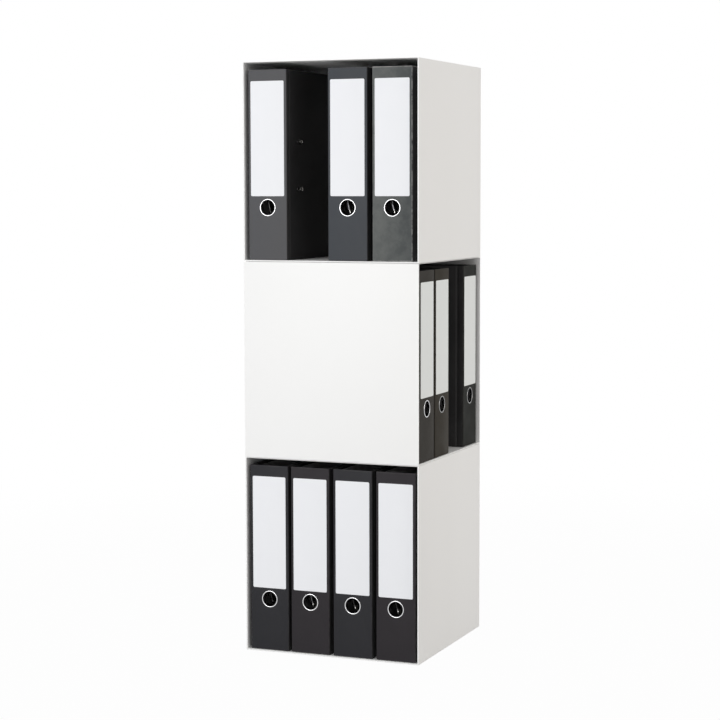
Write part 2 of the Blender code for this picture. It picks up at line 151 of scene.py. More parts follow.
# The post's foot: out from the post, up from where it stands
POST_FOOT = ((0, 0.0016), (0.0004, 0.0011), (0.0016, 0.0008), (0.0018, 0.0005), (0.0018, 0))
SHAFT_RISE = 0.0060
SHAFT_BEND = 0.0040
PLATE_FRONT = 0.0160
PLATE_BACK = 0.0800
PLATE_LENGTH = 0.1600
PLATE_CORNER = 0.0060
PLATE = 0.0012
PLATE_TOP = SEAT + PLATE
FOOT_SINK = 0.0002
PRESSED_RIM = 0.0003
THIN_RIM = 0.0002
SADDLE_LAP = 0.0045
LEVER_BACK = 0.0240
LEVER_WIDTH = 0.0140
LEVER_LENGTH = 0.0860
LEVER_SHEET = 0.0012
LEVER_RIM = 0.00055
LEVER_ROOT_FLANGE = 0.0055
LEVER_TIP_FLANGE = 0.0022
LEVER_TIP_SLOPE = 0.0060
LEVER_RISE = 0.0120
LEVER_TILT = math.radians(13)
# The lever's round end: how high it is in the binder, over what height its painted glint fades, and its
# rolled edge
TIP_RISE = HEIGHT / 2 - (LEVER_LENGTH - LEVER_WIDTH / 2) * math.cos(LEVER_TILT)
TIP_FADE = 0.0040
TIP_ROLL = 0.0026
TIP_ROLL_LAP_DEGREES = 5
# The lever's pin, its bracket and the link to the shaft
PIN_RISE = 0.0090
PIN_RADIUS = 0.0016
PIN_HEAD_RADIUS = 0.0026
PIN_HEAD = 0.0009
PIN_CHAMFER = 0.0005
PIN_PAST_LEVER = 2.4 * LEVER_SHEET
CHEEK_LENGTH = 0.0180
CHEEK_ROUND = 0.0055
CHEEK_SHOULDER = 0.0030
CHEEK_SLOPE = 0.0020
LUG_LENGTH = 0.0060
LINK_LAP = 0.0020
LINK_CORNER = 0.0020
# Rivets. Rounds are in from the edge, and away from the plate or the board
RIVET_SPACING = 0.1420
RIVET_RADIUS = 0.0022
RIVET_HEAD_RADIUS = 0.0040
RIVET_HEAD = 0.0005
RIVET_CLINCH_RADIUS = 0.0034
RIVET_CLINCH = 0.0009
CLINCH_ROUND = ((0.0014, 0.0008), (0.0002, 0.0004), (0, 0))
HEAD_ROUND = ((0, 0), (0.0001, 0.0003), (0.0006, RIVET_HEAD))

# Locking slots in the front board, with their metal edging
SLOT_CLEARANCE = 0.0010
SLOT_WALL = 0.0003
SLOT_LIP = 0.0005
SLOT_CROWN = 0.0003
# Where the painted glint at the slot's far end begins and is full, behind the arch's middle
SLOT_GLINT = (0.0085, 0.0105)

# Faces that meet at more than this show an edge
SHARP_ANGLE = math.radians(32)

# Patterns of the finishes: their largest shift from piece to piece, and a grain that has no direction
PIECE_SHIFT = (3.1, 7.7, 5.3)
FINE_GRAIN = (900, 900, 900)

# Camera, fitted to the edges of the tower in the photograph
CAMERA_PLACE = (1.27858, -3.18046, 0.79154)
CAMERA_TURN = math.radians(22.054)
CAMERA_TILT = math.radians(84.993)
CAMERA_ROLL = math.radians(-0.130)
CAMERA_LENS = 98.803
CAMERA_SENSOR = 36

# Room
PURE_WHITE = (1.0, 1.0, 1.0, 1.0)
ROOM_LIGHT = 0.48
FLOOR_SIZE = 8
FLOOR_BELOW = 0.0004
FLOOR_GREY = (0.50, 0.50, 0.50, 1.0)
FLOOR_GLOW_SHARE = 0.975
SHADOW_FADE = (0.5, 4.0)


# Finishes


class Signal:
    """A socket of a finish. Arithmetic on it adds Math nodes."""

    def __init__(self, finish, socket):
        self.finish = finish
        self.socket = socket

    def math(self, operation, first, second):
        return self.finish.node("Math", {"operation": operation}, {0: first, 1: second})

    def __add__(self, other):
        return self.math("ADD", self, other)

    def __radd__(self, other):
        return self.math("ADD", other, self)

    def __sub__(self, other):
        return self.math("SUBTRACT", self, other)

    def __rsub__(self, other):
        return self.math("SUBTRACT", other, self)

    def __mul__(self, other):
        return self.math("MULTIPLY", self, other)

    def __rmul__(self, other):
        return self.math("MULTIPLY", other, self)

    def __abs__(self):
        return self.math("ABSOLUTE", self, 0.0)

    def over(self, other):
        """The larger of the two."""
        return self.math("MAXIMUM", self, other)

    def between(self, low, high):
        """0 at low and before it, 1 at high and past it."""
        inputs = {"Value": self, "From Min": low, "From Max": high}
        return self.finish.node("MapRange", {"interpolation_type": "SMOOTHSTEP"}, inputs)


class Finish:
    """The shader nodes of a material or of the world, under construction."""

    def __init__(self, owner):
        self.owner = owner
        owner.use_nodes = True
        self.tree = owner.node_tree
        self.tree.nodes.clear()

    def node(self, kind, settings=None, inputs=None, output=0):
        """Adds a node of any kind: its settings first, then the values or links of its sockets."""
        made = self.tree.nodes.new("ShaderNode" + kind)
        for name, value in (settings or {}).items():
            setattr(made, name, value)
        for name, value in (inputs or {}).items():
            if isinstance(value, Signal):
                self.tree.links.new(value.socket, made.inputs[name])
            else:
                made.inputs[name].default_value = value
        return Signal(self, made.outputs[output]) if made.outputs else None

    def place(self, stretch=None):
        """Where a point is on its piece, in metres, shifted for each piece and stretched if asked."""
        spot = self.node("TexCoord", output="Object")
        chance = self.node("ObjectInfo", output="Random")
        steps = {axis: chance * most for axis, most in enumerate(PIECE_SHIFT)}
        shift = self.node("CombineXYZ", {}, steps)
        spot = self.node("VectorMath", {"operation": "ADD"}, {0: spot, 1: shift})
        if stretch:
            spot = self.node("VectorMath", {"operation": "MULTIPLY"}, {0: spot, 1: stretch})
        return spot

    def along(self, axes, kind="Object"):
        """Where a point is on its piece along each of the axes, in metres, or how its face is turned."""
        vector = self.node("TexCoord", output=kind)
        return [self.node("SeparateXYZ", {}, {0: vector}, output=axis) for axis in axes]

    def noise(self, place, scale, detail=2.0, roughness=0.5):
        inputs = {"Vector": place, "Scale": scale, "Detail": detail, "Roughness": roughness}
        return self.node("TexNoise", {}, inputs)

    def cells(self, place, scale, smooth):
        inputs = {"Vector": place, "Scale": scale, "Smoothness": smooth}
        return self.node("TexVoronoi", {"feature": "SMOOTH_F1"}, inputs)

    def mix(self, share, first, second):
        """From the first colour to the second."""
        first, second = ((*c, 1.0) if isinstance(c, tuple) else c for c in (first, second))
        return self.node("Mix", {"data_type": "RGBA"}, {0: share, 6: first, 7: second}, output=2)

    def bump(self, height, distance, strength):
        return self.node("Bump", {}, {"Height": height, "Distance": distance, "Strength": strength})

    def seen(self):
        """1 for a ray from the camera, straight, mirrored or through glass, and 0 for light."""
        kinds = ("Camera", "Glossy", "Transmission")
        straight, mirrored, through = (self.node("LightPath", output=f"Is {kind} Ray") for kind in kinds)
        return straight.over(mirrored).over(through)

    def coat(self, **sockets):
        """Ends the finish in a Principled shader with the named sockets."""
        titled = {name.replace("_", " ").title().replace("Ior", "IOR"): sockets[name] for name in sockets}
        return self.shown(self.node("BsdfPrincipled", {}, titled))

    def shown(self, shader):
        self.node("OutputMaterial", {}, {"Surface": shader})
        return self.owner


def new_finish(name):
    return Finish(bpy.data.materials.new(name))


def white_powder_coat():
    """A fine matt coat: slight orange peel, and faint rubbing where binders slide over the floors."""
    f = new_finish("white_powder_coat")
    spot = f.place()
    peel = f.noise(spot, 520, 1.0)
    grain = f.noise(spot, 2300, 1.0)
    cloud = f.noise(spot, 6, 3.0)
    [z] = f.along("Z")
    [upward] = f.along("Z", "Normal")
    floors = upward.between(0.7, 0.95) * (1 - z.between(2 * SHEET, 4 * SHEET))
    rub = f.noise(f.place((420, 5, 420)), 1.0, 3.0).between(0.55, 0.78) * floors
    clean = f.mix(cloud, (0.860, 0.860, 0.852), (0.885, 0.885, 0.880))
    return f.coat(
        base_color=f.mix(rub * 0.35, clean, (0.50, 0.50, 0.50)),
        roughness=0.40 + cloud * 0.10 + rub * 0.12,
        specular_ior_level=0.45,
        normal=f.bump(peel * 0.7 + grain * 0.3, 0.00006, 0.5),
    )


def black_board(name, spine, wear_and_highlight_film=(0.100, 0.098, 0.095), wear_and_highlight_share=0.30):
    """Board wrapped in black film with a fine leather emboss, worn on its edges and lighter along its
    creases.

    Each spine is painted with its own sheen and shade, from one colour on the left to another on the
    right. The edges' wear, stronger on the right, is partly a painted highlight.
    """
    f = new_finish(name)
    spot = f.place()
    x, y, z = f.along("XYZ")
    emboss = f.cells(spot, 850, 0.6) + f.noise(spot, 1900, 1.0) * 0.4
    cloud = f.noise(spot, 14, 4.0, 0.6).between(0.3, 0.7)
    # Edge wear, weighted to the right edge, where part of it is a painted highlight.
    right, left = (side.between(WIDTH / 2 - EDGE_WEAR_AND_HIGHLIGHT, WIDTH / 2 - EDGE_WEAR_AND_HIGHLIGHT / 2) for side in (x, 0 - x))
    edges = right.over(left * 0.4) * (1 - y.between(*EDGE_WEAR_AND_HIGHLIGHT_FADE))
    foot, head = (end.between(-END_WEAR, -END_WEAR / 6) for end in (0 - z, z - HEIGHT))
    wear_and_painted_light = edges.over(foot.over(head)) * f.noise(spot, 60, 4.0, 0.7).between(0.36, 0.62)
    # A lighter strip just behind the far ridge of each crease.
    past_ridge = y - (CREASE_BACK + CREASE_WIDTH / 2)
    brightened = past_ridge.between(*RIDGE_STRIP_COMES) * (1 - past_ridge.between(*RIDGE_STRIP_GOES))
    # The boards' film is lighter than a black spine's: painted light that lifts the shaded gaps between
    # binders.
    film = f.mix(cloud, (0.0360, 0.0354, 0.0360), (0.0480, 0.0472, 0.0480))
    film = f.mix(brightened * 0.6, film, (0.110, 0.109, 0.108))
    # The spine's face gets its painted sheen: patches, and a change from its left edge to its right.
    patches = f.noise(spot, 45, 5.0, 0.65).between(0.35, 0.65)
    painted_sheen = f.mix(patches * 0.4 + x.between(-WIDTH / 2, WIDTH / 2) * 0.6, *spine)
    film = f.mix(1 - y.between(*SPINE_SHEEN_FADE), film, painted_sheen)
    return f.coat(
        base_color=f.mix(wear_and_painted_light * wear_and_highlight_share, film, wear_and_highlight_film),
        roughness=0.52 + cloud * 0.12 + wear_and_painted_light * 0.10,
        specular_ior_level=0.10,
        normal=f.bump(emboss, 0.00009, 0.55),
    )


def grey_lining():
    """Uncoated grey paper pasted inside the boards."""
    f = new_finish("grey_lining")
    spot = f.place()
    fibre = f.noise(f.place((900, 900, 240)), 1.0, 3.0)
    cloud = f.noise(spot, 22, 3.0)
    return f.coat(
        base_color=f.mix(cloud * 0.7 + fibre * 0.3, (0.430, 0.432, 0.436), (0.520, 0.522, 0.526)),
        roughness=0.82,
        normal=f.bump(fibre, 0.00005, 0.5),
    )


def label_paper(name, deep, pale):
    """Smooth paper with a trace of fibre, greyer along its cut edge."""
    f = new_finish(name)
    spot = f.place()
    x, z = f.along("XZ")
    fibre = f.noise(f.place((1500, 1500, 420)), 1.0, 3.0)
    cloud = f.noise(spot, 30, 3.0)
    sides = abs(x).between(LABEL_WIDTH / 2 - LABEL_GREY_EDGE, LABEL_WIDTH / 2)
    ends = abs(z - LABEL_MIDDLE).between(LABEL_HEIGHT / 2 - LABEL_GREY_EDGE, LABEL_HEIGHT / 2)
    sheet = f.mix(cloud * 0.6 + fibre * 0.4, deep, pale)
    return f.coat(
        base_color=f.mix(sides.over(ends) * 0.35, sheet, (0.62, 0.62, 0.63)),
        roughness=0.62 + fibre * 0.12,
        specular_ior_level=0.35,
        normal=f.bump(fibre, 0.00003, 0.4),
    )


def plated(name, colour, dull, low, high, grain):
    """Plated steel: fine drawn lines and a slow change of gloss."""
    f = new_finish(name)
    spot = f.place()
    lines = f.noise(f.place(grain), 1.0, 2.0)
    cloud = f.noise(spot, 120, 3.0)
    return f.coat(
        base_color=f.mix(cloud, colour, dull),
        metallic=1.0,
        roughness=low + (high - low) * (lines * 0.6 + cloud * 0.4),
        normal=f.bump(lines, 0.00002, 0.3),
    )


def lever_tip_glint(f):
    """The lever's end, where a finger lifts it, with a painted glint."""
    [z] = f.along("Z")
    return 1 - z.between(TIP_RISE, TIP_RISE + TIP_FADE)


def slot_end_glint(f):
    """The far end of a locking slot, where a glint is painted."""
    [y] = f.along("Y")
    return (y - ARCH_BACK).between(*SLOT_GLINT)


def nickel_with_painted_glint(name, dark, dull, place):
    """Dark plating, with a painted glint in one place."""
    f = new_finish(name)
    spot = f.place()
    lines = f.noise(spot, 900, 2.0)
    cloud = f.noise(spot, 120, 3.0)
    # The painted glint, at the place that is given.
    brightened = place(f) * (0.7 + lines * 0.3)
    return f.coat(
        base_color=f.mix(brightened, f.mix(cloud, dark, dull), (0.90, 0.88, 0.85)),
        metallic=1.0,
        roughness=0.18 + lines * 0.07 + cloud * 0.05,
        normal=f.bump(lines, 0.00002, 0.3),
    )


def ring_chrome(name, bright, wear_and_painted_light):
    """Chrome on the lip, and darker inside the hole, where the shade is painted."""
    f = new_finish(name)
    spot = f.place()
    [y] = f.along("Y")
    cloud = f.noise(spot, 120, 3.0)
    lines = f.noise(spot, 700, 2.0)
    # Painted shade inside the hole.
    inside = y.between(-RING_CROWN / 2, 0.0)
    lip = f.mix(cloud, bright, wear_and_painted_light)
    return f.coat(
        base_color=f.mix(inside, lip, (0.22, 0.22, 0.23)),
        metallic=1.0,
        roughness=0.14 + lines * 0.06 + cloud * 0.06,
        normal=f.bump(lines, 0.00002, 0.3),
    )


def slip_plastic():
    f = new_finish("slip_plastic")
    spot = f.place()
    cloud = f.noise(spot, 40, 3.0)
    return f.coat(
        base_color=f.mix(cloud, (0.76, 0.76, 0.73), (0.82, 0.82, 0.80)),
        roughness=0.38 + cloud * 0.14,
        normal=f.bump(f.noise(spot, 1400, 1.0), 0.00004, 0.4),
    )


def pale_floor():
    """White where it is seen, but for a share round the tower that is left plain to show its shadow."""
    f = new_finish("pale_floor")
    x, y = f.along("XY")
    far = (x * x + y * y).between(*SHADOW_FADE)
    glow = f.seen() * (FLOOR_GLOW_SHARE + (1 - FLOOR_GLOW_SHARE) * far)
    plain = f.node("BsdfDiffuse", {}, {"Color": FLOOR_GREY})
    bright = f.node("Emission", {}, {"Color": PURE_WHITE, "Strength": 1.0})
    return f.shown(f.node("MixShader", {}, {0: glow, 1: plain, 2: bright}))


# Shapes


def finished(shape):
    """The mesh of a shape under construction, welded and facing out."""
    bmesh.ops.remove_doubles(shape, verts=shape.verts, dist=WELD)
    bmesh.ops.recalc_face_normals(shape, faces=shape.faces)
    mesh = bpy.data.meshes.new("shape")
    shape.to_mesh(mesh)
    shape.free()
    return mesh


def settled(guide):
    """The mesh that a guide object evaluates to. The guide is removed."""
    bpy.context.scene.collection.objects.link(guide)
    graph = bpy.context.evaluated_depsgraph_get()
    mesh = bpy.data.meshes.new_from_object(guide.evaluated_get(graph))
    bpy.data.objects.remove(guide)
    shape = bmesh.new()
    shape.from_mesh(mesh)
    return finished(shape)


def cut(mesh, *cutters):
    """The mesh with each cutter's space taken out."""
    guide = bpy.data.objects.new("cut", mesh)
    tools = []
    for cutter in cutters:
        tool = bpy.data.objects.new("cutter", cutter)
        bpy.context.scene.collection.objects.link(tool)
        tools.append(tool)
        step = guide.modifiers.new("cut", "BOOLEAN")
        step.operation = "DIFFERENCE"
        step.solver = "EXACT"
        step.object = tool
    result = settled(guide)
    for tool in tools:
        bpy.data.objects.remove(tool)
    return result


def moved(mesh, *matrices):
    for matrix in matrices:
        mesh.transform(matrix)
    return mesh


def joined(*meshes):
    """One mesh that holds all of the given closed shapes, each with its own choice of finish."""
    shape = bmesh.new()
    for mesh in meshes:
        shape.from_mesh(mesh)
    result = bpy.data.meshes.new("joined")
    shape.to_mesh(result)
    shape.free()
    return result


def arc(centre, radius, start, end, steps):
    """Points on an arc, its angles in degrees."""
    angles = [math.radians(start + (end - start) * i / steps) for i in range(steps + 1)]
    return [(centre[0] + radius * math.cos(a), centre[1] + radius * math.sin(a)) for a in angles]


def crown(inner, outer, rise, foot, steps):
    """Points over a half-oval lip, from its outer foot to its inner one."""
    middle = (inner + outer) / 2
    half = (outer - inner) / 2
    return [(middle + half * x, foot + rise * y) for x, y in arc((0, 0), 1, 0, 180, steps)]


def rounded_rectangle(width, height, radius, steps):
    x = width / 2 - radius
    y = height / 2 - radius
    corners = (((x, -y), -90), ((x, y), 0), ((-x, y), 90), ((-x, -y), 180))
    return [p for centre, start in corners for p in arc(centre, radius, start, start + 90, steps)]


def circle(radius, steps=48):
    return arc((0, 0), radius, 0, 360, steps)[:-1]


def plate(thickness, outlines, rim=0.0, rim_steps=2):
    """A plate centred on Z, cut to its first outline with any others as holes, its rims rounded."""
    curve = bpy.data.curves.new("outline", "CURVE")
    curve.dimensions = "2D"
    curve.fill_mode = "BOTH"
    curve.extrude = thickness / 2 - rim
    curve.bevel_depth = rim
    curve.bevel_resolution = rim_steps
    curve.offset = -rim
    for outline in outlines:
        spline = curve.splines.new("POLY")
        spline.points.add(len(outline) - 1)
        for point, (x, y) in zip(spline.points, outline):
            point.co = (x, y, 0, 1)
        spline.use_cyclic_u = True
    return settled(bpy.data.objects.new("plate", curve))


def turned(profile, steps=64):
    """A closed profile of (radius, height) points turned about Z. It may start and end on the axis."""
    shape = bmesh.new()
    points = [shape.verts.new((radius, 0, height)) for radius, height in profile]
    edges = [shape.edges.new(pair) for pair in zip(points, points[1:])]
    if profile[0][0] > 0:
        edges.append(shape.edges.new((points[-1], points[0])))
    about = {"cent": (0, 0, 0), "axis": (0, 0, 1), "angle": 2 * math.pi}
    bmesh.ops.spin(shape, geom=points + edges, steps=steps, use_merge=True, **about)
    return finished(shape)


def plug(radius, high, low, steps=64):
    return turned([(0, high), (radius, high), (radius, low), (0, low)], steps)


def looped(rings):
    """A closed loop lofted through rings of as many points each, and back to the first ring."""
    shape = bmesh.new()
    loops = [[shape.verts.new(point) for point in ring] for ring in rings]
    for here, there in zip(loops, loops[1:] + loops[:1]):
        for i in range(len(here)):
            shape.faces.new((here[i - 1], here[i], there[i], there[i - 1]))
    return finished(shape)


def rod(path, radius, rim_steps=4, swell=None):
    """A round rod along a path of points, its ends closed. Swell is its share of the radius at each."""
    curve = bpy.data.curves.new("rod", "CURVE")
    curve.dimensions = "3D"
    curve.bevel_depth = radius
    curve.bevel_resolution = rim_steps
    curve.use_fill_caps = True
    spline = curve.splines.new("POLY")
    spline.points.add(len(path) - 1)
    for point, place, share in zip(spline.points, path, swell or [1.0] * len(path)):
        point.co = (*place, 1)
        point.radius = share
    return settled(bpy.data.objects.new("rod", curve))


def quarter(axis, turns=1):
    return Matrix.Rotation(math.radians(90 * turns), 4, axis)


def shifted(x, y, z):
    return Matrix.Translation((x, y, z))


# Boxes


def stud_cutter():
    """The countersink for a stud's head in a floor, from the floor's underside."""
    slope = [(STUD_HEAD_RADIUS + SEAT + rise - SHEET, rise) for rise in (2 * SHEET, -SHEET)]
    return turned([(0, 2 * SHEET), *slope, (0, -SHEET)])


def collar_cutter():
    return plug(COLLAR_RADIUS + SEAT, BOX_HEIGHT + SHEET, BOX_HEIGHT - 2 * SHEET)


def box_shell(cutters):
    """Floor, sides and ceiling folded from one sheet, the ceiling thinned to its front rim."""
    rim = BOX_SIDE / 2 - RIM_ROUND
    outside = arc((RIM_ROUND, -rim), RIM_ROUND, 270, 180, 3)
    outside += arc((RIM_ROUND, rim), RIM_ROUND, 180, 90, 3)
    inside = arc((SHEET - RIM_ROUND, rim), RIM_ROUND, 90, 0, 3)
    inside += [(SHEET, back - BOX_SIDE / 2) for back in (CEILING_TAPER + CEILING_STRIP, CEILING_TAPER)]
    front = arc((SHEET - RIM_ROUND, -rim), RIM_ROUND, 0, -90, 3)
    fold = BEND_RADIUS - SHEET
    sections = ((outside, FOLD_ROUND, 0), (inside, fold, 0), (front, fold, SHEET - CEILING_EDGE))
    rings = []
    for section, radius, lift in sections:
        for inset, depth in section:
            loop = rounded_rectangle(BOX_SIDE - 2 * inset, BOX_HEIGHT - 2 * inset, radius, 8)
            rings.append([(x, depth, BOX_HEIGHT / 2 + z + (lift if z > 0 else 0)) for x, z in loop])
    return cut(looped(rings), *cutters)


def box_back():
    """The tray in a shell's rear end, with its folded flanges."""
    size = (BOX_SIDE - 2 * SHEET - 2 * SEAT, BACK_FLANGE, BOX_HEIGHT - 2 * SHEET - 2 * SEAT)
    shape = bmesh.new()
    bmesh.ops.create_cube(shape, size=1, matrix=Matrix.Diagonal((*size, 1)))
    front = [face for face in shape.faces if face.normal.y < -0.5]
    bmesh.ops.delete(shape, geom=front, context="FACES_ONLY")
    folds = [edge for edge in shape.edges if not edge.is_boundary]
    bmesh.ops.bevel(shape, geom=folds, offset=BEND_RADIUS, segments=6, profile=0.5, affect="EDGES")
    guide = bpy.data.objects.new("tray", finished(shape))
    sheet = guide.modifiers.new("sheet", "SOLIDIFY")
    sheet.thickness = SHEET
    sheet.offset = -1
    sheet.use_even_offset = True
    return moved(settled(guide), shifted(0, (BOX_SIDE - BACK_FLANGE) / 2, BOX_HEIGHT / 2))


# Swivels


def swivel_stud():
    """A countersunk head with a hexagon socket, a smooth journal and a threaded end."""
    top = SHEET - THIN_SEAT
    profile = [
        (0, top),
        (STUD_HEAD_RADIUS - 2 * STUD_EDGE, top),
        (STUD_HEAD_RADIUS - STUD_EDGE, top - STUD_EDGE),
        (STUD_HEAD_RADIUS - SHEET, 0),
        (JOURNAL_RADIUS, 0),
        (JOURNAL_RADIUS, SHOULDER + STUD_EDGE),
        (JOURNAL_RADIUS - STUD_EDGE, SHOULDER),
        (THREAD_RADIUS, SHOULDER),
        (THREAD_RADIUS, STUD_TIP + THREAD_PAST_NUT),
        (THREAD_RADIUS - THREAD_PAST_NUT, STUD_TIP),
        (0, STUD_TIP),
    ]
    socket = moved(plate(2 * SOCKET_DEPTH, [circle(SOCKET_CORNER_RADIUS, 6)]), shifted(0, 0, top))
    return cut(turned(profile), socket)


def swivel_washer():
    outlines = [circle(WASHER_RADIUS, 64), circle(THREAD_RADIUS + SEAT)]
    return moved(plate(WASHER, outlines, PRESSED_RIM), shifted(0, 0, WASHER_MIDDLE))


def swivel_nut():
    """A thin hexagon nut, its corners turned off at thirty degrees on both faces."""
    blank = plate(NUT, [circle(NUT_CORNER_RADIUS, 6), circle(THREAD_RADIUS + SEAT)])
    flat = NUT_CORNER_RADIUS * math.cos(math.radians(30))
    reach = 2 * NUT_CORNER_RADIUS
    drop = (reach - flat) * math.tan(math.radians(30))
    turning = [(flat, 0), (reach, -drop), (reach, drop), (flat, drop)]
    tools = [turned([(radius, side * (NUT / 2 + rise)) for radius, rise in turning]) for side in (1, -1)]
    return moved(cut(blank, *tools), shifted(0, 0, NUT_MIDDLE))


def slip_disc():
    """A thin disc in the gap, with a collar that lines the lower ceiling's hole."""
    top = (DISC - SWIVEL_GAP) / 2
    foot = -SWIVEL_GAP - SHEET
    profile = [
        (DISC_RADIUS, top),
        (DISC_RADIUS, top - DISC),
        (COLLAR_RADIUS, top - DISC),
        (COLLAR_RADIUS, foot),
        (COLLAR_BORE_RADIUS, foot),
        (COLLAR_BORE_RADIUS, top),
    ]
    return turned(profile, 96)


# Binders, with the origin under the middle of the spine's face

# Turns a piece set out on a board, Z as its rise, to stand upright in a binder's frame
ACROSS = quarter("Z") @ quarter("X")
ONTO_BACK_BOARD = shifted(BOARD - WIDTH / 2, 0, HEIGHT / 2)


def cover_outline():
    """A cover seen from above: spine, rounded edges, a crease in each board and wrapped fore edges."""
    half = WIDTH / 2
    fore = BOARD / 2
    right = arc((half - SPINE_EDGE_RADIUS, SPINE_EDGE_RADIUS), SPINE_EDGE_RADIUS, -90, 0, 8)
    steps = 10
    for step in range(steps + 1):
        dip = CREASE_DEPTH * (0.5 - 0.5 * math.cos(2 * math.pi * step / steps))
        right.append((half - dip, CREASE_BACK + CREASE_WIDTH * (step / steps - 0.5)))
    right += arc((half - fore, DEPTH - fore), fore, 0, 180, 8)
    right += arc((half - BOARD - INNER_FILLET, BOARD + INNER_FILLET), INNER_FILLET, 0, -90, 4)
    return right + [(-x, y) for x, y in reversed(right)]


def onto_spine(mesh, rise):
    """Stands a piece that is set out flat, facing up, on the spine's face, facing out."""
    return moved(mesh, quarter("X"), shifted(0, 0, rise))


def onto_front_board(mesh, side):
    """Stands a piece that is set out flat at a locking slot, its foot on the board's outer face."""
    return moved(mesh, ACROSS, shifted(WIDTH / 2, ARCH_BACK, HEIGHT / 2 + side * ARCH_SPACING / 2))


def slot_outline(margin=0.0):
    """The slot in the front board that an arch's crown reaches into."""
    inner_rise = WIDTH - 2 * BOARD - ARCH_RISE
    reach = math.sqrt((ARCH_RADIUS + WIRE_RADIUS) ** 2 - inner_rise**2) + SLOT_CLEARANCE
    end = WIRE_RADIUS + SLOT_CLEARANCE
    run = reach - end / 2
    return arc((run, 0), end + margin, -90, 90, 12) + arc((-run, 0), end + margin, 90, 270, 12)


def slot_cutter(side):
    return onto_front_board(plate(CUT_REACH, [slot_outline()]), side)


def slot_rim(side):
    """The metal edging of a locking slot: a crowned lip on the board and a thin wall through it."""
    profile = crown(-SLOT_WALL, SLOT_LIP, SLOT_CROWN, THIN_SEAT, 10)
    profile += [(-SLOT_WALL, -BOARD), (-THIN_SEAT, -BOARD), (-THIN_SEAT, THIN_SEAT)]
    rings = [[(x, y, rise) for x, y in slot_outline(margin)] for margin, rise in profile]
    return onto_front_board(looped(rings), side)


def rivet_place(side):
    return ((PLATE_FRONT + PLATE_BACK) / 2, side * RIVET_SPACING / 2, 0)


def rivet_cutter(side):
    hole = plug(RIVET_RADIUS + SEAT, BOARD, -2 * BOARD, 24)
    return moved(hole, shifted(*rivet_place(side)), ACROSS, ONTO_BACK_BOARD)


def ring_cutter(radius):
    return onto_spine(plug(radius, CUT_REACH, -CUT_REACH), RING_RISE)


def binder_cover():
    board = moved(plate(HEIGHT, [cover_outline()], WRAP_ROUND), shifted(0, 0, HEIGHT / 2))
    cutters = [ring_cutter(RING_BARREL + SEAT)]
    cutters += [make(side) for side in (1, -1) for make in (slot_cutter, rivet_cutter)]
    return cut(board, *cutters)


def binder_lining():
    """Thin paper inside the spine and the two boards, short of their edges."""
    long = DEPTH - BOARD - 2 * LINING_MARGIN
    tall = HEIGHT - 2 * LINING_MARGIN
    wide = WIDTH - 2 * BOARD - 2 * LINING_SPINE_MARGIN
    middle = BOARD + LINING_MARGIN + long / 2
    face = WIDTH / 2 - BOARD - LINING / 2
    sheet = moved(plate(LINING, [rounded_rectangle(long, tall, LINING_CORNER, 2)]), ACROSS)
    front, back = (moved(sheet.copy(), shifted(x, middle, HEIGHT / 2)) for x in (face, -face))
    spine = plate(LINING, [rounded_rectangle(wide, tall, LINING_CORNER, 2)])
    spine = moved(spine, quarter("X"), shifted(0, BOARD + LINING / 2, HEIGHT / 2))
    return joined(
        cut(front, slot_cutter(1), slot_cutter(-1)),
        cut(back, rivet_cutter(1), rivet_cutter(-1)),
        cut(spine, ring_cutter(RING_HOLE + RING_INNER_LIP + SEAT)),
    )


def binder_label():
    outline = rounded_rectangle(LABEL_WIDTH, LABEL_HEIGHT, LABEL_CORNER, 6)
    paper = plate(LABEL_THICKNESS, [outline], LABEL_RIM)
    return onto_spine(moved(paper, shifted(0, 0, LABEL_THICKNESS / 2 + THIN_SEAT)), LABEL_MIDDLE)


def finger_ring():
    """An eyelet clinched round its hole: a crowned lip outside, a barrel and a rolled lip inside."""
    inside = -BOARD - LINING - THIN_SEAT
    outer_lip = crown(RING_HOLE, RING_RADIUS, RING_CROWN - THIN_SEAT, THIN_SEAT, 12)
    inner_lip = crown(RING_HOLE, RING_HOLE + RING_INNER_LIP, -RING_INNER_ROLL, inside, 10)
    profile = outer_lip + inner_lip[::-1] + [(RING_BARREL, inside), (RING_BARREL, THIN_SEAT)]
    return onto_spine(turned(profile, 96), RING_RISE)


# Lever arch: X is depth, Y is up from mid-height, Z is rise from the back board


def arch_wire():
    """The two arches and the shaft that joins them, bent from one rod."""
    level = ARCH_SPACING / 2
    shaft = ARCH_BACK - ARCH_RADIUS
    bow = arc((ARCH_BACK, ARCH_RISE), ARCH_RADIUS, 0, 180, 24)
    elbow = arc((SHAFT_RISE + SHAFT_BEND, level - SHAFT_BEND), SHAFT_BEND, 90, 180, 6)
    upper = [(ARCH_BACK + ARCH_RADIUS, level, ARCH_RISE - ARCH_OVER_POST)]
    upper += [(back, level, rise) for back, rise in bow]
    upper += [(shaft, up, rise) for rise, up in elbow]
    return rod(upper + [(back, -up, rise) for back, up, rise in reversed(upper)], WIRE_RADIUS)


def arch_post(side):
    """The fixed post that an arch closes onto, with its swaged foot."""
    foot = PLATE_TOP - FOOT_SINK
    head = ARCH_RISE - POST_BELOW_ARCH
    profile = [(0, head), (POST_RADIUS - POST_CHAMFER, head), (POST_RADIUS, head - POST_CHAMFER)]
    profile += [(POST_RADIUS + out, foot + up) for out, up in POST_FOOT]
    profile.append((0, foot))
    return moved(turned(profile, 32), shifted(ARCH_BACK + ARCH_RADIUS, side * ARCH_SPACING / 2, 0))


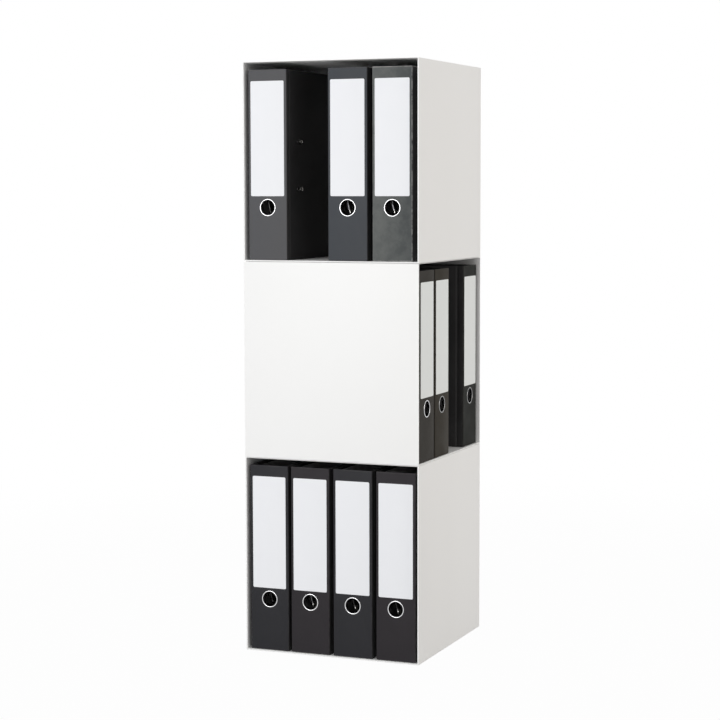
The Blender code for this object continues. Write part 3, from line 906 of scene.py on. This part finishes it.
def shaft_saddle(side):
    """A pressed strap that holds the shaft down on the plate."""
    inner = WIRE_RADIUS + THIN_SEAT
    outer = inner + PLATE
    foot = PLATE_TOP - FOOT_SINK
    lap = outer + SADDLE_LAP
    outline = [(lap, foot), (lap, foot + PLATE), (outer, foot + PLATE)]
    outline += arc((0, SHAFT_RISE), outer, 0, 180, 16)
    outline += [(-outer, foot + PLATE), (-lap, foot + PLATE), (-lap, foot), (-inner, foot)]
    outline += arc((0, SHAFT_RISE), inner, 180, 0, 16)
    outline += [(inner, foot)]
    strap = moved(plate(LUG_LENGTH, [outline], THIN_RIM), quarter("X"))
    middle = side * (ARCH_SPACING / 2 - SHAFT_BEND - LUG_LENGTH)
    return moved(strap, shifted(ARCH_BACK - ARCH_RADIUS, middle, 0))


def lever_cheek(side):
    """One wall of the lever's bracket, round over the pin."""
    foot = PLATE_TOP - FOOT_SINK
    half = CHEEK_LENGTH / 2
    neck = half - CHEEK_SLOPE
    outline = [(-half, foot), (half, foot), (neck, foot + CHEEK_SHOULDER)]
    outline += arc((0, PIN_RISE), CHEEK_ROUND, 20, 160, 12) + [(-neck, foot + CHEEK_SHOULDER)]
    wall = moved(plate(LEVER_SHEET, [outline], THIN_RIM), ACROSS)
    return moved(wall, shifted(LEVER_BACK + side * (LEVER_WIDTH / 2 + LEVER_SHEET), 0, 0))


def lever_pin():
    """The pin through both cheeks and the lever, with a chamfered head on each end."""
    reach = LEVER_WIDTH / 2 + PIN_PAST_LEVER
    under = reach - PIN_HEAD
    profile = [(0, reach), (PIN_HEAD_RADIUS - PIN_CHAMFER, reach)]
    profile += [(PIN_HEAD_RADIUS, reach - PIN_CHAMFER), (PIN_HEAD_RADIUS, under), (PIN_RADIUS, under)]
    profile += [(radius, -height) for radius, height in reversed(profile)]
    return moved(turned(profile, 24), quarter("Y"), shifted(LEVER_BACK, 0, PIN_RISE))


def lever():
    """A round-ended channel, its flanges tapered towards its rolled tip, in its closed place."""
    half = LEVER_WIDTH / 2
    root = CHEEK_LENGTH / 2
    tip = half - LEVER_LENGTH
    outline = [(half, root), (-half, root)] + arc((0, tip), half, 180, 360, 24)
    flange_root = root - THIN_SEAT
    flange_tip = tip + LEVER_TIP_SLOPE
    taper = [(tip, 0), (flange_tip, -LEVER_TIP_FLANGE)]
    taper += [(flange_root, -LEVER_ROOT_FLANGE), (flange_root, 0)]
    flange = moved(plate(LEVER_SHEET, [taper], PRESSED_RIM), ACROSS)
    out = half - LEVER_SHEET / 2 - THIN_SEAT
    flanges = [moved(flange.copy(), shifted(x, 0, 0)) for x in (-out, out)]
    start, end = 180 - TIP_ROLL_LAP_DEGREES, 360 + TIP_ROLL_LAP_DEGREES
    edge = arc((0, tip), half - TIP_ROLL / 2, start, end, 30)
    swell = [math.sqrt(math.sin(math.pi * (i + 1) / (len(edge) + 1))) for i in range(len(edge))]
    roll = rod([(x, y, 0) for x, y in edge], TIP_ROLL, 5, swell)
    channel = joined(plate(LEVER_SHEET, [outline], LEVER_RIM, 4), roll, *flanges)
    return moved(channel, Matrix.Rotation(-LEVER_TILT, 4, "X"), shifted(LEVER_BACK, 0, LEVER_RISE))


def cam_link():
    back = ARCH_BACK - ARCH_RADIUS
    outline = rounded_rectangle(back - LEVER_BACK + 2 * LINK_LAP, LUG_LENGTH, LINK_CORNER, 4)
    link = plate(WIRE_RADIUS, [outline], PRESSED_RIM)
    return moved(link, shifted((LEVER_BACK + back) / 2, 0, SHAFT_RISE))


def rivet(side):
    """A rivet through board and plate: a flat head outside and a clinched end inside."""
    outside = -BOARD - THIN_SEAT
    profile = [(0, PLATE_TOP + RIVET_CLINCH)]
    profile += [(RIVET_CLINCH_RADIUS - inset, PLATE_TOP + rise) for inset, rise in CLINCH_ROUND]
    profile += [(RIVET_RADIUS, PLATE_TOP), (RIVET_RADIUS, outside)]
    profile += [(RIVET_HEAD_RADIUS - inset, outside - rise) for inset, rise in HEAD_ROUND]
    profile.append((0, outside - RIVET_HEAD))
    return moved(turned(profile, 32), shifted(*rivet_place(side)))


def base_plate():
    outline = rounded_rectangle(PLATE_BACK - PLATE_FRONT, PLATE_LENGTH, PLATE_CORNER, 8)
    middle = (PLATE_FRONT + PLATE_BACK) / 2
    return moved(plate(PLATE, [outline], PRESSED_RIM), shifted(middle, 0, SEAT + PLATE / 2))


def lever_arch():
    """The mechanism on the back board, in pressed and polished pieces and its lever."""
    pressed = [base_plate(), lever_pin(), cam_link()]
    polished = [arch_wire()]
    for side in (1, -1):
        pressed += [make(side) for make in (shaft_saddle, lever_cheek, rivet)]
        polished.append(arch_post(side))
    groups = (pressed, polished, [lever()])
    for finish, meshes in enumerate(groups):
        for mesh in meshes:
            mesh.polygons.foreach_set("material_index", [finish] * len(mesh.polygons))
    return moved(joined(*(mesh for meshes in groups for mesh in meshes)), ACROSS, ONTO_BACK_BOARD)


# Placing


def place_piece(name, mesh, finishes, slot, body, matrix, *nodes):
    """Shows a copy of a mesh, riding on a body, in place of the CAD nodes that are named, if any."""
    piece = bpy.data.objects.new(name, mesh.copy())
    piece.data.shade_smooth()
    piece.data.set_sharp_from_angle(angle=SHARP_ANGLE)
    for finish in finishes:
        piece.data.materials.append(finish)
    piece.matrix_world = matrix
    bpy.context.scene.collection.objects.link(piece)
    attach(piece, body)
    if nodes:
        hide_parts(*nodes)


def binder_frame(name, turns):
    """Where a binder stands, from its CAD cover."""
    low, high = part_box(f"{name}_cover")
    middle = (low + high) / 2
    spot = (middle.x, low.y, low.z) if turns == 0 else (high.x, middle.y, low.z)
    return shifted(*spot) @ quarter("Z", turns)


WHITE = white_powder_coat()
BLACK = black_board("black_film", ((0.0252, 0.0252, 0.0284), (0.0279, 0.0279, 0.0312)))
PLUM = black_board("plum_film", ((0.0276, 0.0248, 0.0276), (0.0303, 0.0272, 0.0303)))
# The mottled top spine, with a painted sheen from its pale left to its darker right.
MOTTLED_SHEEN_SPINE = ((0.130, 0.136, 0.132), (0.066, 0.072, 0.073))
# Spine colours by binder, painted to how each is lit: the pale top spines are painted sheen, the third
# middle spine painted shade.
SPINE_SHEEN_AND_SHADE_FILMS = {
    "bottom_binder_2": PLUM,
    "bottom_binder_4": PLUM,
    "middle_binder_1": black_board("warm_film", ((0.0230, 0.0203, 0.0165), (0.0252, 0.0218, 0.0172))),
    "middle_binder_2": black_board("brown_film", ((0.0192, 0.0150, 0.0086), (0.0206, 0.0160, 0.0094))),
    # A darker spine: painted shade on the binder that stands back in its box.
    "middle_binder_3": black_board("deep_film", ((0.0044, 0.0050, 0.0030), (0.0056, 0.0062, 0.0042))),
    "top_binder_1": black_board("pale_sheen_film", ((0.092, 0.093, 0.099), (0.096, 0.096, 0.100))),
    "top_binder_2": black_board("slate_film", ((0.058, 0.063, 0.071), (0.063, 0.067, 0.074))),
    # Its strong pale edges are partly a painted highlight.
    "top_binder_3": black_board("mottled_film", MOTTLED_SHEEN_SPINE, (0.34, 0.34, 0.33), 0.85),
}
GREY = grey_lining()
PAPER = label_paper("white_paper", (0.828, 0.838, 0.866), (0.858, 0.868, 0.894))
GREEN_GREY_PAPER = label_paper("green_grey_paper", (0.806, 0.834, 0.833), (0.835, 0.864, 0.860))
CHROME = ring_chrome("bright_chrome", (0.78, 0.78, 0.79), (0.71, 0.71, 0.72))
# Darker chrome on two rings of the middle box: painted shade, as they are seen at a graze.
SHADED_CHROME = ring_chrome("shaded_chrome", (0.46, 0.46, 0.46), (0.26, 0.26, 0.26))
SHADED_RINGS = ("middle_binder_2", "middle_binder_3")
NICKEL = plated("nickel_plate", (0.58, 0.57, 0.55), (0.48, 0.47, 0.46), 0.34, 0.50, (1600, 1600, 90))
POLISHED = plated("polished_nickel", (0.74, 0.72, 0.68), (0.66, 0.65, 0.62), 0.08, 0.16, FINE_GRAIN)
# Lever finishes by binder paint the light and shade seen through each finger hole: dark nickel where it
# shows light, black where it shows little, plain black without a glint where it shows only shade.
DARK_LEVER = nickel_with_painted_glint("dark_nickel", (0.24, 0.24, 0.25), (0.17, 0.17, 0.18), lever_tip_glint)
BLACK_LEVER = nickel_with_painted_glint("black_nickel", (0.06, 0.06, 0.06), (0.04, 0.04, 0.04), lever_tip_glint)
SHADED_LEVER = plated("shaded_nickel", (0.07, 0.07, 0.07), (0.05, 0.05, 0.05), 0.20, 0.32, FINE_GRAIN)
LEVERS = {
    "top_binder_1": SHADED_LEVER,
    "top_binder_2": DARK_LEVER,
    "top_binder_3": DARK_LEVER,
    "bottom_binder_1": SHADED_LEVER,
    "bottom_binder_2": DARK_LEVER,
}
# Dark edging with a painted glint at each slot's far end.
SLOT_METAL = nickel_with_painted_glint("slot_nickel", (0.14, 0.14, 0.14), (0.10, 0.10, 0.10), slot_end_glint)
ZINC = plated("zinc_plate", (0.62, 0.63, 0.65), (0.52, 0.53, 0.54), 0.28, 0.46, (500, 500, 500))
SLIP = slip_plastic()

LABEL = binder_label()
RING = finger_ring()
COVER = binder_cover()
LINED = binder_lining()
RIMS = joined(slot_rim(1), slot_rim(-1))
MECHANISM = lever_arch()
BACK = box_back()

for level, (box, turns, binders) in enumerate(BOXES):
    stand = shifted(0, 0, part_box(f"{box}_box_shell")[0].z) @ quarter("Z", turns)
    holes = [stud_cutter()] if level > 0 else []
    if level < len(BOXES) - 1:
        holes.append(collar_cutter())
    body = f"{box}_box"
    place_piece(f"{box}_shell", box_shell(holes), [WHITE], "white_coat", body, stand, f"{box}_box_shell")
    place_piece(f"{box}_back", BACK, [WHITE], "white_coat", body, stand, f"{box}_box_back")
    for number in range(1, binders + 1):
        name = f"{box}_binder_{number}"
        film = SPINE_SHEEN_AND_SHADE_FILMS.get(name, BLACK)
        paper = GREEN_GREY_PAPER if box == "middle" else PAPER
        chrome = SHADED_CHROME if name in SHADED_RINGS else CHROME
        metals = [NICKEL, POLISHED, LEVERS.get(name, BLACK_LEVER)]
        at = (name, binder_frame(name, turns))
        place_piece(f"{name}.cover", COVER, [film], "cover_board", *at, f"{name}_cover")
        place_piece(f"{name}.label", LABEL, [paper], "label_paper", *at, f"{name}_label")
        place_piece(f"{name}.finger_ring", RING, [chrome], "ring_chrome", *at, f"{name}_finger_ring")
        place_piece(f"{name}.lever_arch", MECHANISM, metals, "nickel_steel", *at, f"{name}_lever_arch")
        place_piece(f"{name}.lining", LINED, [GREY], "cover_board", *at)
        place_piece(f"{name}.slot_rims", RIMS, [SLOT_METAL], "ring_chrome", *at)

for name, lower, upper in (("lower", "bottom", "middle"), ("upper", "middle", "top")):
    stand = shifted(0, 0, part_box(f"{upper}_box_shell")[0].z)
    turning, resting = ((f"{box}_box", stand) for box in (upper, lower))
    for part, mesh in (("stud", swivel_stud()), ("washer", swivel_washer()), ("nut", swivel_nut())):
        place_piece(f"{name}.{part}", mesh, [ZINC], "zinc_steel", *turning, f"{name}_swivel_{part}")
    place_piece(f"{name}.slip_disc", slip_disc(), [SLIP], "slip_plastic", *resting, f"{name}_slip_disc")


# Floor, light and camera


def add_floor():
    shape = bmesh.new()
    bmesh.ops.create_grid(shape, x_segments=2, y_segments=2, size=FLOOR_SIZE)
    floor = bpy.data.objects.new("floor", finished(shape))
    floor.data.materials.append(pale_floor())
    floor.location = (0, 0, -FLOOR_BELOW)
    bpy.context.scene.collection.objects.link(floor)


def add_softbox(name, place, aim, size, power, colour):
    lamp = bpy.data.lights.new(name, "AREA")
    lamp.color = colour
    lamp.shape = "RECTANGLE"
    lamp.size, lamp.size_y = size
    lamp.energy = power
    softbox = bpy.data.objects.new(name, lamp)
    softbox.location = place
    softbox.rotation_euler = (Vector(aim) - Vector(place)).to_track_quat("-Z", "Y").to_euler()
    bpy.context.scene.collection.objects.link(softbox)


def light_world():
    """An even pale room: white where it is seen, and dimmer as a light."""
    f = Finish(bpy.data.worlds.new("room"))
    dim = f.node("Background", {}, {"Color": PURE_WHITE, "Strength": ROOM_LIGHT})
    white = f.node("Background", {}, {"Color": PURE_WHITE, "Strength": 1.0})
    f.node("OutputWorld", {}, {"Surface": f.node("MixShader", {}, {0: f.seen(), 1: dim, 2: white})})
    bpy.context.scene.world = f.owner


def add_camera():
    lens = bpy.data.cameras.new("camera")
    lens.lens = CAMERA_LENS
    lens.sensor_width = CAMERA_SENSOR
    camera = bpy.data.objects.new("camera", lens)
    steps = ((CAMERA_TURN, "Z"), (CAMERA_TILT, "X"), (CAMERA_ROLL, "Z"))
    turn, tilt, roll = (Matrix.Rotation(angle, 4, axis) for angle, axis in steps)
    camera.matrix_world = shifted(*CAMERA_PLACE) @ turn @ tilt @ roll
    bpy.context.scene.collection.objects.link(camera)
    bpy.context.scene.camera = camera


add_floor()
light_world()
add_softbox(
    "front_softbox",
    place=(-0.9, -3.5, 1.25),
    aim=(0, 0, 0.65),
    size=(2.6, 2.0),
    power=77,
    colour=(1.0, 1.0, 1.0),
)
add_softbox(
    "side_softbox",
    place=(2.8, 0.05, 1.05),
    aim=(0, 0, 0.5),
    size=(1.5, 1.5),
    power=25.4,
    colour=(1.0, 0.94, 0.87),
)
add_softbox(
    "rear_softbox",
    place=(-2.4, 2.6, 1.5),
    aim=(0, 0, 0.5),
    size=(2.0, 2.0),
    power=46,
    colour=(1.0, 1.0, 1.0),
)
add_camera()
bpy.context.scene.view_settings.view_transform = "Standard"
